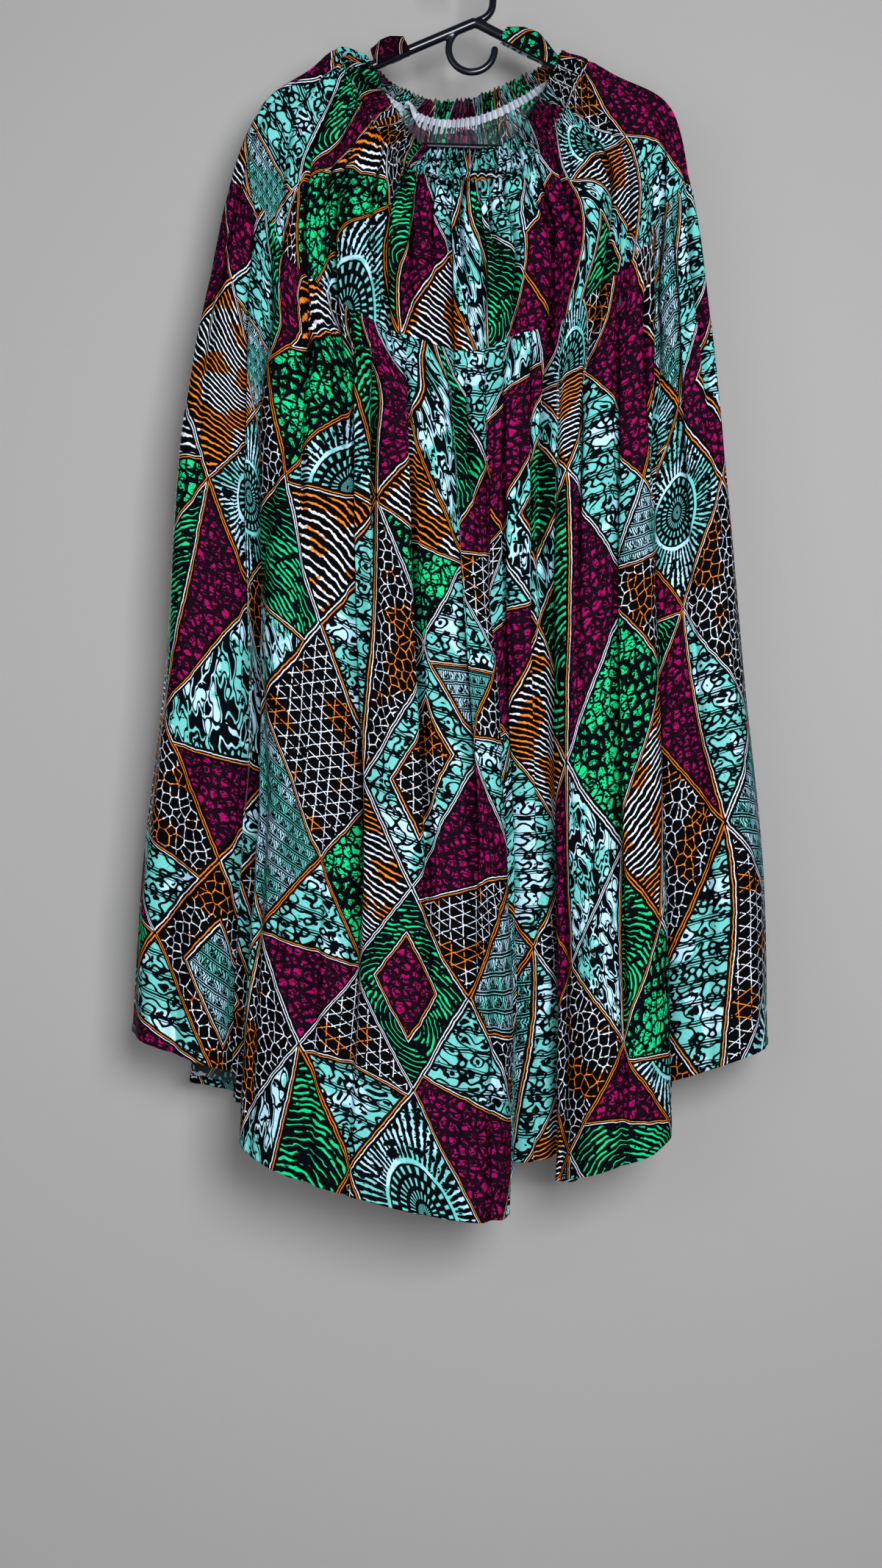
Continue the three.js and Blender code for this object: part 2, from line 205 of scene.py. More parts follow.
# Creases, listed one by one. across, low: where one starts and ends, in thousandths from left to right.
# start,
# end: the same down the cloth. deep: how far it goes in. lean: by how many tenths of that its bottom slides
# under its right lip, or its left one where negative. open: how far it opens lower down, in tenths.
creaseColumns = ("across", "low", "start", "end", "deep", "lean", "open")
creases = {"front": (
    (55, 60, 40, 420, 6, 3),
    (90, 235, 40, 330, 8, -4),
    (150, 275, 28, 330, 12, 5),
    (200, 300, 28, 260, 8, -4),
    (235, 330, 28, 420, 13, 4),
    (295, 362, 28, 220, 8, -3),
    (345, 385, 28, 330, 11, 4),
    (392, 412, 28, 210, 10, -2),
    (435, 440, 28, 170, 8, 3),
    (478, 460, 28, 330, 11, 4),
    (510, 490, 28, 165, 9, -3),
    (545, 522, 28, 240, 10, 4),
    (575, 545, 28, 150, 8, -3),
    (605, 565, 28, 300, 11, -4),
    (660, 597, 28, 640, 14, -5),
    (700, 620, 28, 230, 9, 4),
    (745, 660, 28, 210, 8, -3),
    (815, 690, 28, 420, 14, -5),
    (840, 725, 30, 240, 9, 4),
    (870, 750, 30, 300, 9, -4),
    (930, 850, 36, 500, 9, 4),
    (970, 930, 60, 430, 5, -3),
    (60, 50, 195, 620, 8, -4),
    (105, 135, 200, 1900, 21, 5, 3),
    (170, 210, 196, 800, 10, 5),
    (265, 280, 196, 620, 9, -5, 6),
    (327, 318, 200, 1300, 14, 5, 5),
    (358, 345, 196, 700, 9, -4),
    (405, 378, 195, 1100, 13, -5, 5),
    (453, 410, 197, 1200, 12, 5, 6),
    (490, 475, 195, 470, 9, -4),
    (525, 520, 200, 1500, 10, 5),
    (560, 545, 195, 700, 11, -5, 5),
    (596, 575, 200, 1900, 20, -5, 3),
    (650, 640, 210, 1500, 11, -5),
    (700, 712, 196, 700, 10, 4, 6),
    (751, 741, 196, 1300, 15, 6, 5),
    (800, 800, 196, 600, 8, -4),
    (857, 850, 200, 1600, 14, -5, 5),
    (905, 930, 198, 900, 10, 4, 6),
    (950, 960, 198, 600, 6, -4),
    (225, 235, 470, 1400, 7, 3),
    (285, 290, 560, 1500, 6, 3),
    (450, 445, 620, 1500, 7, -3),
    (500, 505, 700, 1500, 5, 2),
    (690, 685, 600, 1400, 7, 3),
    (920, 915, 560, 1400, 6, 3),
    (65, 70, 600, 1500, 6, -3),
), "back": (
    (70, 113, 40, 380, 5, -3),
    (120, 196, 30, 270, 7, 4),
    (180, 244, 28, 520, 10, -5),
    (240, 292, 28, 210, 7, 4),
    (300, 340, 28, 350, 10, 4),
    (360, 388, 28, 200, 8, -4),
    (415, 432, 28, 620, 11, 5),
    (470, 476, 28, 240, 8, -3),
    (530, 524, 28, 320, 10, 4),
    (600, 580, 28, 560, 11, -5),
    (660, 628, 28, 220, 8, 4),
    (720, 676, 28, 420, 10, -4),
    (790, 732, 28, 240, 8, 4),
    (850, 780, 30, 330, 8, -4),
    (920, 878, 40, 480, 6, 3),
    (100, 90, 195, 700, 8, 4),
    (200, 205, 198, 1500, 10, -5),
    (270, 260, 196, 560, 8, 4),
    (335, 340, 196, 820, 10, 5),
    (400, 400, 200, 1500, 10, -4),
    (455, 460, 195, 480, 8, 4),
    (505, 510, 197, 900, 10, -5),
    (560, 550, 195, 520, 8, 4),
    (600, 600, 205, 1500, 10, 5),
    (680, 670, 196, 760, 9, -5),
    (750, 755, 195, 480, 8, 4),
    (800, 800, 200, 1500, 10, 4),
    (880, 890, 196, 660, 8, -4),
    (950, 945, 200, 500, 5, 3),
    (145, 150, 560, 1400, 6, 3),
    (300, 295, 640, 1450, 6, -3),
    (470, 465, 620, 1400, 6, 3),
    (700, 705, 560, 1450, 6, -3),
    (905, 910, 640, 1400, 5, 3),
)}
# How creases grow, in millimetres: soonest from above waistStart, slowly from under lateStart. Those that end
# under longEnd are made deeper by long, the others by short.
creaseShape = {
    "waistStart": 45, "lateStart": 300,
    "longEnd": 1000, "long": 1.9, "short": 1.75,
    "topRise": 16, "rise": 60, "slowRise": 320, "fadeFrom": 0.12,
    "gap": 4.5,  # how wide a trough is at its start, and openRun further down
    "lateGap": 30, "lowGap": 52, "openRun": 650, "least": 0.3,
    "clear": 7.5,  # no trough comes nearer than this to the hanger's plane
    "valley": 0.8,  # the softer dip about a trough
    "valleyReach": 18, "valleyOpen": 0.6,
    "crown": 4.5,  # how far the cloth between them swells, from crownReach down
    "crownReach": 120,
    "crownLoss": 0.6,  # and how much of that is lost, over lossOver from lossFrom down
    "lossFrom": 300, "lossOver": 600, "sideEdge": 0.03,
}


def creaseAt(row, down):
    shape, crease = creaseShape, dict(zip(creaseColumns, (*row, 10)))
    past = down - crease["start"]
    run = past / (crease["end"] - crease["start"])
    if run <= 0 or run >= 1:
        return None
    waist, late = crease["start"] < shape["waistStart"], crease["start"] > shape["lateStart"]
    rise = smoothStep(past / shape["slowRise" if late else "topRise" if waist else "rise"])
    fade = 1 - smoothStep(run, shape["fadeFrom"], 1 - shape["fadeFrom"])
    more = shape["long" if crease["end"] > shape["longEnd"] else "short"]
    gap = shape["lateGap" if late else "gap"]
    way = 1 - (1 - run) ** 2 if waist else run
    across, low = crease["across"] / 1000, crease["low"] / 1000
    return {
        "at": across + (low - across) * way,
        "deep": crease["deep"] * more * rise * fade,
        "gap": gap + (shape["lowGap"] * (crease["open"] / 10) - gap) * min(past / shape["openRun"], 1),
        "lean": crease["lean"] / 10 * fade,
    }


# Gathers under the casing and the tier seam: how many across, how tall, how far down their peak and reach.
gathers = {
    "bandDepth": ((51, 6.8, 0, 16), (25, 4.6, 20, 70), (13, 6.0, 55, 180)),
    "tierSeam": ((67, 2.0, 7, 30), (34, 4.0, 24, 100), (15, 11, 90, 800)),
}
gatherShape = {"wander": 0.7, "even": 0.85, "uneven": 0.4, "sharp": 0.8, "middle": 0.68}
gatherFade = {"bandDepth": 1.4, "tierSeam": 1.2}
gatherSeed = {"front": 11, "back": 23}


def gatherHeight(name, share, downs):
    shape, seed = gatherShape, gatherSeed[name]
    share, downs = np.meshgrid(share, downs)
    height = np.zeros_like(share)
    for edge, rows in gathers.items():
        past = np.maximum(downs - form[edge], 0)
        for k, (count, tall, peak, run) in enumerate(rows):
            wander = softNoise(share * count / 4, downs / (70 + 4 * run), seed + k) * shape["wander"]
            ridge = np.abs(np.sin(pi * (share * count + wander + 0.25 * k))) ** shape["sharp"]
            uneven = softNoise(share * count / 2.3, downs / (120 + run), seed + 7 + k)
            level = np.exp(-(np.maximum(past - peak, 0) / run) ** gatherFade[edge])
            if peak:
                level *= smoothStep(past / peak)
            height += tall * (shape["even"] + shape["uneven"] * uneven) * level * (ridge - shape["middle"])
    return height


# Small wrinkles all over: height, width, slant and length.
wrinkles = ((1.7, 38, 210, 105), (0.7, 15, 60, 40))
# How far along the cloth the print's threads are evened out: at a piece's top, and more further down.
threadEvening = {"top": 22, "more": 230, "from": 40, "over": 330}
fineAcross = np.linspace(0, 1, 1001)


def smoothCloth(name, downs):
    # the cloth before it is creased: its points, the ways out from them, and its length for a step across
    points = drapedGrid(name, fineAcross, downs)
    below = drapedGrid(name, fineAcross, np.minimum(downs + 1, form["hem"]))
    above = drapedGrid(name, fineAcross, np.maximum(downs - 1, 0))
    alongAcross = np.gradient(points, fineAcross, axis=1)
    outward = np.cross(below - above, alongAcross)
    outward /= np.linalg.norm(outward, axis=-1, keepdims=True)
    outward *= np.sign(outward[..., 1].mean() * halves[name]["side"])
    return points, outward, np.linalg.norm(alongAcross, axis=-1)


def creasesAt(name, down, depths, speed):
    # the creases at one level: how much cloth each hides, where, and how far through it each point is
    shape, found = creaseShape, []
    for crease in filter(None, (creaseAt(row, down) for row in creases[name])):
        room = max(abs(np.interp(crease["at"], fineAcross, depths)) - shape["clear"], 0)
        crease["deep"] = min(crease["deep"], room / (1 + shape["valley"]))
        if crease["deep"] < shape["least"]:
            continue
        crease["speed"] = np.interp(crease["at"], fineAcross, speed)
        reach = crease["gap"] / crease["speed"] / 2
        x = np.clip((fineAcross - crease["at"]) / reach, -1, 1)
        bell = np.where(np.abs(x) < 1, (1 + np.cos(pi * x)) / (2 * reach), 0)
        crease["passed"] = np.clip((x + np.sin(pi * x) / pi + 1) / 2, 0, 1)
        crease["hides"] = hypot(crease["gap"], 2 * crease["deep"]) - crease["gap"]
        crease["cloth"] = crease["hides"] * bell
        found.append(crease)
    return found


def foldedCloth(name, downs, columns, cutWidth):
    # Columns are evenly spaced over the flat cloth, so a trough takes in as much cloth and print as it hides.
    shape, side = creaseShape, halves[name]["side"]
    base, outward, speed = smoothCloth(name, np.clip(downs, 0, form["hem"]))
    share = np.linspace(0, 1, columns + 1)
    threads = np.empty((len(downs), len(fineAcross)))
    acrosses = np.empty((len(downs), columns + 1))
    points = np.empty((len(downs), columns + 1, 3))
    normals = np.empty_like(points)
    for j, down in enumerate(downs):
        found = creasesAt(name, down, base[j, :, 1], speed[j])
        cloth, girth = speed[j].copy(), speed[j].mean()
        for crease in found:
            cloth += crease["cloth"]
        visible = max(cutWidth - sum(crease["hides"] for crease in found), girth * 0.8) / girth
        cloth += speed[j] * (visible - 1)
        used = np.r_[0, np.cumsum((cloth[1:] + cloth[:-1]) / 2)]
        across = np.interp(share, used / used[-1], fineAcross)
        threads[j], acrosses[j] = used / used[-1], across
        point, out = (np.stack([np.interp(across, fineAcross, row[:, k]) for k in range(3)], -1)
                      for row in (base[j], outward[j]))
        edge = smoothStep(np.minimum(across, 1 - across) / shape["sideEdge"])
        crown = shape["crown"] * smoothStep(down / shape["crownReach"])
        crown *= 1 - shape["crownLoss"] * smoothStep(down, shape["lossFrom"], shape["lossOver"])
        point += edge[:, None] * out * crown
        for crease in found:
            trough = np.sin(pi * np.interp(across, fineAcross, crease["passed"])) ** 2
            reach = shape["valleyReach"] + crease["gap"] * shape["valleyOpen"]
            valley = np.exp(-((across - crease["at"]) * crease["speed"] / reach) ** 2) * shape["valley"]
            point[:, 1] -= edge * side * (crease["deep"] * (trough + valley))
            point[:, 0] += edge * (crease["deep"] * crease["lean"] * trough)
        points[j] = point
        normals[j] = out * edge[:, None]
    lift, ways, u = 0, downs[:, None], share[None] * cutWidth
    for seed, (height, wide, slant, long) in enumerate(wrinkles, 3):
        lift += height * softNoise(u / wide + ways / slant, ways / long, seed)
    calm = smoothStep(np.abs(ways - form["tierSeam"]) / 12)
    lift *= calm * smoothStep(ways, form["bandDepth"] + 2, 20)
    points += normals * (gatherHeight(name, share, downs) + lift)[..., None]
    # the threads don't swerve round each crease: they are evened out along the cloth
    further = smoothStep(downs - downs.min(), threadEvening["from"], threadEvening["over"])
    reach = threadEvening["top"] + threadEvening["more"] * further
    nearby = np.exp(-(((ways - downs) / reach[:, None]) ** 2)) * np.abs(np.gradient(downs) + 1e-6)
    threads = nearby @ threads / nearby.sum(1, keepdims=True)
    places = np.array([np.interp(row, fineAcross, thread) for row, thread in zip(acrosses, threads)])
    return points, normals, places


def addObject(name, data):
    item = bpy.data.objects.new(name, data)
    scene.collection.objects.link(item)
    return item


def addMesh(name, points, faces, materials):
    mesh = bpy.data.meshes.new(name)
    mesh.from_pydata(points, [], faces)
    for material in materials:
        mesh.materials.append(material)
    return addObject(name, mesh)


def meshFrom(name, points, flat, materials, thickness, faceSlots=None, facesUp=False):
    # a grid of points in millimetres to a shell, with its flat-cloth places as a UV map in metres
    rows, columns = points.shape[:2]
    index = np.arange(rows * columns).reshape(rows, columns)
    quads = np.stack([index[:-1, :-1], index[1:, :-1], index[1:, 1:], index[:-1, 1:]], -1).reshape(-1, 4)
    if facesUp:
        quads = quads[:, ::-1]
    piece = addMesh(name, (points.reshape(-1, 3) * mm).tolist(), quads.tolist(), materials)
    mesh = piece.data
    layer = mesh.uv_layers.new(name="clothPlan")
    layer.data.foreach_set("uv", (flat.reshape(-1, 2) * mm)[quads.reshape(-1)].ravel())
    if faceSlots is not None:
        mesh.polygons.foreach_set("material_index", faceSlots)
    mesh.polygons.foreach_set("use_smooth", np.ones(len(quads), bool))
    mesh.update()
    shell = piece.modifiers.new("thickness", "SOLIDIFY")
    shell.thickness = thickness * mm
    shell.offset = -1
    shell.material_offset = len(materials) // 2
    return piece


def clothPiece(label, plan, name, points, places, ways, *others, **more):
    # one half of a piece: its print runs over places across and ways down the flat cloth
    u = places * plan["width"][name] + plan["printFrom"][name]
    flat = np.stack(np.broadcast_arrays(u, -ways[:, None]), -1)
    return meshFrom(label + name, points, flat, *others, **more)


def spaced(start, end, fine, coarse, reach=60):
    # ways down the cloth, closest together near a gathered edge
    ways = [start]
    while ways[-1] < end:
        ways.append(ways[-1] + fine + (coarse - fine) * float(smoothStep(ways[-1], start, reach)))
    ways[-1] = end
    return np.array(ways)


class Wire:
    # a node socket that sums can be written with
    def __init__(self, tree, socket):
        self.tree, self.socket = tree, socket

    def calc(self, operation, *others, clamp=False):
        inputs = dict(enumerate((self, *others)))
        return addNode(self.tree, "Math", inputs, operation=operation, use_clamp=clamp)

    __add__ = partialmethod(calc, "ADD")
    __sub__ = partialmethod(calc, "SUBTRACT")
    __mul__ = partialmethod(calc, "MULTIPLY")
    __truediv__ = partialmethod(calc, "DIVIDE")
    fract = partialmethod(calc, "FRACT")
    floor = partialmethod(calc, "FLOOR")
    size = partialmethod(calc, "ABSOLUTE")
    lower = partialmethod(calc, "MINIMUM")
    upper = partialmethod(calc, "MAXIMUM")
    toWhole = partialmethod(calc, "PINGPONG", 0.5)  # distance from the nearest whole number

    def toHalf(self):
        # distance from the middle between two whole numbers
        return self.fract().off(0.5)

    def off(self, value):
        return (self - value).size()

    def per(self, pitch):
        return self * (1 / pitch)

    def flip(self):
        # a mask's other side
        return self * -1 + 1

    def wave(self):
        return (self * (2 * pi)).calc("SINE")

    def under(self, edge, soft=0.02):
        # 1 where this is below the edge, 0 above, with a soft change between them
        if isinstance(edge, Wire):
            return ((edge - self) / soft).calc("ADD", 0.5, clamp=True)
        return self.calc("MULTIPLY_ADD", -1 / soft, edge / soft + 0.5, clamp=True)

    def over(self, edge, soft=0.02):
        return self.calc("MULTIPLY_ADD", 1 / soft, 0.5 - edge / soft, clamp=True)


def feed(entry, value):
    if isinstance(value, Wire):
        value.tree.links.new(value.socket, entry)
    else:
        entry.default_value = value


def addNode(tree, kind, inputs, output=0, **settings):
    node = tree.nodes.new("ShaderNode" + kind)
    for name, value in settings.items():
        setattr(node, name, value)
    for key, value in inputs.items():
        feed(node.inputs[key], value)
    return Wire(tree, node.outputs[output])


def vectorOf(x, y, z=0.0):
    return addNode(x.tree, "CombineXYZ", {0: x, 1: y, 2: z})


def partsOf(vector):
    node = addNode(vector.tree, "SeparateXYZ", {0: vector}).socket.node
    return [Wire(vector.tree, output) for output in node.outputs]


def noiseOf(vector, scale, detail=1, rough=0.5, output="Fac", space="2D"):
    inputs = {"Vector": vector, "Scale": scale, "Detail": detail, "Roughness": rough}
    return addNode(vector.tree, "TexNoise", inputs, output, noise_dimensions=space)


def chanceOf(vector):
    return addNode(vector.tree, "TexWhiteNoise", {"Vector": vector}, "Value", noise_dimensions="3D")


def cellEdges(vector, scale):
    settings = {"voronoi_dimensions": "2D", "feature": "DISTANCE_TO_EDGE"}
    inputs = {"Vector": vector, "Scale": scale, "Randomness": 0.9}
    return addNode(vector.tree, "TexVoronoi", inputs, "Distance", **settings)


def blend(factor, low, high, mode="MIX"):
    # colours by a mask
    tree = next(value.tree for value in (factor, low, high) if isinstance(value, Wire))
    low, high = ((*value, 1) if isinstance(value, tuple) else value for value in (low, high))
    inputs = {"Factor": factor, 6: low, 7: high}
    return addNode(tree, "Mix", inputs, 2, data_type="RGBA", blend_type=mode)


def choose(factor, low, high):
    # numbers by a mask
    return addNode(factor.tree, "Mix", {"Factor": factor, 2: low, 3: high})


def newGroup(name, inputs, outputs):
    # inputs: a number's start value, or None for a vector. outputs: each one's kind.
    tree = bpy.data.node_groups.new(name, "ShaderNodeTree")
    for label, start in inputs.items():
        kind = "NodeSocketVector" if start is None else "NodeSocketFloat"
        socket = tree.interface.new_socket(label, in_out="INPUT", socket_type=kind)
        if start is not None:
            socket.default_value = start
    for label, kind in outputs.items():
        tree.interface.new_socket(label, in_out="OUTPUT", socket_type="NodeSocket" + kind)
    entry, leave = tree.nodes.new("NodeGroupInput"), tree.nodes.new("NodeGroupOutput")
    return tree, {output.name: Wire(tree, output) for output in entry.outputs if output.name}, leave


def placeGroup(tree, group, **values):
    node = addNode(tree, "Group", values, node_tree=group).socket.node
    return {output.name: Wire(tree, output) for output in node.outputs}


def srgb(r, g, b):
    # screen values 0 to 255 to linear ones
    return tuple(((c / 255 + 0.055) / 1.055) ** 2.4 if c > 10 else c / 255 / 12.92 for c in (r, g, b))


inks = {
    "night": srgb(4, 9, 16),
    "coal": srgb(6, 6, 9),
    "white": srgb(220, 227, 240),
    "orange": srgb(222, 130, 38),
    "emerald": srgb(20, 200, 134),
    "aqua": srgb(110, 190, 187),
    "pale": srgb(176, 214, 230),
    "magenta": srgb(158, 14, 94),
    "maroon": srgb(25, 9, 25),
    "wine": srgb(46, 8, 34),
}

# The print, in metres on the flat cloth: tall slanted cells, each filled with a common wax-print texture and
# outlined in white and orange.
printPlan = {
    "cellWide": 0.138, "cellTall": 0.225,
    "splitSide": 0.26,  # shares of the cells: up to this split left and right, then top and bottom
    "splitTop": 0.6,
    "nested": 0.84,  # and from this on they hold a smaller cell, of this size
    "nest": 0.27,
    "line": 0.00078, "lineGap": 0.00075, "border": 0.0038, "soft": 0.0004, "hard": 0.001,
    # the pitch of each texture, and two radii
    "markRow": 0.021, "shelf": 0.0195, "stripe": 0.0066, "toothTall": 0.0146, "toothWide": 0.0122,
    "arc": 0.0056, "mesh": 0.0126, "leanMesh": 0.0122, "petalRing": 0.0078, "disc": 0.0312, "halo": 0.0345,
}


def makePrint():
    plan = printPlan
    night, coal, white, orange, emerald, aqua, pale, magenta, maroon, wine = inks.values()
    inputs, outputs = {"Vector": None, "Fill": -1}, {"Color": "Color", "Ink": "Float"}
    tree, entry, leave = newGroup("patchPrint", inputs, outputs)
    flat = entry["Vector"]
    x, y, _ = partsOf(flat)
    # the whole drawing wanders a little, and each line has a hand's unsteadiness
    slow = partsOf(noiseOf(flat, 6, 0, output="Color"))
    quick = partsOf(noiseOf(flat, 85, 1, output="Color"))
    x = x + (slow[0] - 0.5) * 0.004 + (quick[0] - 0.5) * 0.0018
    y = y + (slow[1] - 0.5) * 0.006 + (quick[1] - 0.5) * 0.0018
    drawn = vectorOf(x, y)
    wide, tall, soft, hard = plan["cellWide"], plan["cellTall"], plan["soft"], plan["hard"]
    p = x.per(wide) + y.per(tall)
    q = x.per(wide) - y.per(tall) + 0.31
    p = p + p.per(2.9).wave() * 0.16
    q = q + (q.per(3.4) + 0.3).wave() * 0.14
    i, j, fp, fq = p.floor(), q.floor(), p.fract(), q.fract()
    across, up = fp + fq - 1, fp - fq
    kind = chanceOf(vectorOf(i, j, 3.0))
    pitch = wide * tall / hypot(wide, tall)
    toLattice = p.toWhole().lower(q.toWhole()) * pitch
    # some cells are split into triangles, and some hold a smaller cell
    splitSide = kind.under(plan["splitSide"], hard)
    splitTop = kind.over(plan["splitSide"], hard) * kind.under(plan["splitTop"], hard)
    nested = kind.over(plan["nested"], hard)
    nest = fp.off(0.5).upper(fq.off(0.5))
    split = up + (kind - 0.43) * 1.6
    toSplit = across.size() * (wide / 2) + splitSide.flip()
    toSplit = toSplit.lower(split.size() * (tall / 2) + splitTop.flip())
    toSplit = toSplit.lower(nest.off(plan["nest"]) * pitch + nested.flip())
    part = across.over(0, hard) * splitSide + split.over(0, hard) * splitTop
    part = part + nest.under(plan["nest"], hard) * nested
    edge = toLattice.lower(toSplit)
    parity = ((i + j + part) * 0.5).fract().over(0.25, 0.01)
    fill = chanceOf(vectorOf(i, j, 7.0)) * 2.2
    fill = (i * 2 + j * 5 + part * 4 + fill.floor() + 900).calc("MODULO", 12.0)
    fill = fill - fill.over(9.5, 0.01) * 6 - fill.over(10.5, 0.01) * 5
    fill = choose(entry["Fill"].over(-0.5, 0.01), fill, entry["Fill"])

    def isFill(number):
        return fill.off(number).under(0.5, 0.01)

    dx, dy = across * (wide / 2), up * (tall / 2)
    fine = noiseOf(drawn, 300)
    blot = noiseOf(vectorOf(x * 0.7, y), 110, 2, 0.6)
    patch = noiseOf(drawn, 24, 0)
    shade, splash = patch.over(0.5, 0.1), blot.over(0.62)
    grain = choose(isFill(2), 104.0, 118.0)
    cells = cellEdges(vectorOf(x, y * 0.85), grain) / grain
    ragged = (fine - 0.5) * 0.0016

    # 0 magenta marks on maroon, in loose rows
    rows = (y.per(plan["markRow"]) + x.per(0.19).wave() * 0.18).toHalf()
    marks = blot.off(0.49).over(0.042, 0.012) * blot.under(0.6) * rows.under(0.46, 0.03)
    marks = marks * (cells + ragged).over(0.0017, soft) * fine.over(0.33, 0.1)
    marked = blend(marks, blend(fine.over(0.56, 0.1) * 0.5, maroon, wine), magenta)
    # 1 emerald cells between dark veins, with scribbled shade
    veins = (cells + ragged).under(choose(patch.over(0.5, 0.06), 0.0011, 0.0024), soft)
    scribble = fine.off(0.5).under(0.03) * shade
    scribble = scribble.upper(blot.off(0.52).under(0.034, 0.014))
    veined = blend(veins.upper(scribble).upper(blot.under(0.36)), emerald, night)
    # 2 a crackled net, white with orange stretches
    netLine = (cells + ragged * 0.8).under(0.00034, soft)
    netInk = blend((patch + (fine - 0.5) * 0.2).over(0.6, 0.03), white, orange)
    net = blend(netLine, coal, netInk)
    # 3 pale ground with dark strokes
    strokes = noiseOf(vectorOf(dx * 4 + dy * 0.9, dy * 1.2 - dx * 0.5), 40, 0.4)
    strokeLine = strokes.off(0.44).under(0.048, 0.012).upper(strokes.over(0.57, 0.012)).upper(splash)
    ground = blend((patch + (blot - 0.5) * 0.6).over(0.5, 0.1), pale, aqua)
    feathers = blend(strokeLine, ground, night)
    # 4 scrawled marks between rules on aqua
    shelf = (y + x * 0.1).per(plan["shelf"]).toWhole()
    shelves = shelf.under(0.05).upper(shelf.off(0.13).under(0.025, 0.015))
    curls = noiseOf(vectorOf(x * 0.8, y), 95, 0)
    scrawl = curls.off(0.5).under(0.072).upper(curls.under(0.24)).upper(splash)
    scrawlGround = blend(patch.over(0.64, 0.03), aqua, pale)
    scrawls = blend(scrawl.upper(shelves), scrawlGround, night)
    # 5 wavy stripes in white and orange
    waveRow = (dy + dx * 0.22 + (slow[2] - 0.5) * 0.07 + (quick[2] - 0.5) * 0.004).per(plan["stripe"])
    stripe = waveRow.toHalf().under(choose(fine.over(0.5, 0.3), 0.1, 0.17), 0.06)
    stripeInk = blend((patch + (blot - 0.5) * 0.3).over(0.53), white, orange)
    stripes = blend(stripe, coal, stripeInk)
    # 6 rows of hatched triangles between rules
    band = (dy + 0.2).per(plan["toothTall"])
    inBand, along = band.fract(), (dx + band.floor() * 0.005).per(plan["toothWide"])
    rule = inBand.off(0.1).under(0.07, 0.03).upper(inBand.off(0.93).under(0.05, 0.03))
    slope = along.fract().off(0.5) * 2 - 1 + (inBand - 0.14) * 1.35
    teeth = slope.under(0.0, 0.06) * inBand.over(0.2, 0.04) * inBand.under(0.86, 0.04)
    rays = slope.over(0.0, 0.06) * (along * 5 + blot * 3).toHalf().under(0.25, 0.1)
    hatch = fine.off(0.48).over(0.02)
    toothGround = blend(shade, pale, aqua)
    triangles = blend(rule.upper(teeth * hatch).upper(rays), toothGround, night)
    # 7 green arcs about the foot of the cell
    foot = dy + tall * 0.2
    away = (dx * dx + foot * foot).calc("SQRT") + (quick[1] - 0.5) * 0.004
    arcs = away.per(plan["arc"]).toHalf().under(choose(shade, 0.08, 0.19), 0.08) * blot.over(0.42, 0.04)
    arched = blend(arcs, night, emerald)
    # 8 a straight net of three sets of lines
    mesh = x.per(plan["mesh"]).toHalf().under(0.034, 0.03)
    for lean in (0.5, -0.5):
        mesh = mesh.upper((y + x * lean).per(plan["leanMesh"]).toHalf().under(0.036, 0.03))
    lattice = blend(mesh * (blot * 0.5 + fine).over(0.62, 0.03), coal, netInk)
    # 9 rings of petals on pale cloth
    centre = (dx * dx + dy * dy * 0.62).calc("SQRT")
    angle = dy.calc("ARCTAN2", dx) * (1 / (2 * pi))
    ring = centre.per(plan["petalRing"])
    petals = (angle * 26 + ring.floor() * 0.5).toHalf().under(0.17, 0.1)
    disc = blend(petals * ring.toHalf().under(0.31, 0.05), night, aqua)
    halo = centre.under(plan["halo"], 0.0006) * centre.over(plan["disc"], 0.0006)
    beams = (angle * 58).toHalf() + (blot - 0.5) * 0.9
    beams = beams.under(0.27, 0.08).upper(blot.over(0.58, 0.03)) * halo.flip()
    rosette = blend(centre.under(plan["disc"], 0.0006), blend(beams, ground, night), disc)

    color = marked
    others = (veined, net, feathers, scrawls, stripes, triangles, arched, lattice, rosette)
    for number, layer in enumerate(others, 1):
        color = blend(isFill(number), color, layer)
    # outlines: a dark border, then one line each side of it, white against orange
    color = blend(edge.under(plan["border"], soft), color, coal)
    unsteady = edge + (fine - 0.5) * 0.0007
    line = unsteady.off(plan["lineGap"] + plan["line"] / 2).under(plan["line"] / 2, soft)
    color = blend(line, color, blend(parity, white, orange))
    feed(leave.inputs["Color"], color)
    feed(leave.inputs["Ink"], line)
    return tree


def makeWeave():
    # plain weave: threads over and under, and a little slub along them
    inputs, outputs = {"Vector": None, "Thread": 0.0004}, {"Height": "Float", "Tone": "Float"}
    tree, entry, leave = newGroup("cottonWeave", inputs, outputs)
    x, y, _ = partsOf(entry["Vector"])
    warp, weft = x / entry["Thread"], y / entry["Thread"]
    over = ((warp.floor() + weft.floor()) * 0.5).fract().over(0.25, 0.1)
    upright = warp.fract().off(0.5) * -2 + 1
    level = weft.fract().off(0.5) * -2 + 1
    slub = noiseOf(vectorOf(x * 0.3, y), 900)
    height = choose(over, level, upright) + (slub - 0.5) * 0.8
    feed(leave.inputs["Height"], height)
    feed(leave.inputs["Tone"], slub * 0.3 + 0.85)
    return tree


def newMaterial(name, rough, color=None, gloss=0.06):
    material = bpy.data.materials.new(name)
    material.use_nodes = True
    tree = material.node_tree
    shader = tree.nodes["Principled BSDF"]
    shader.inputs["Roughness"].default_value = rough
    shader.inputs["Specular IOR Level"].default_value = gloss
    if color:
        shader.inputs["Base Color"].default_value = (*color, 1)
    return material, tree, shader


def clothPlace(tree):
    return addNode(tree, "UVMap", {}, uv_map="clothPlan")


def bumpOf(shader, height, strength, distance):
    bump = addNode(height.tree, "Bump", {"Strength": strength, "Distance": distance, "Height": height})
    feed(shader.inputs["Normal"], bump)


patchPrint = makePrint()
cottonWeave = makeWeave()

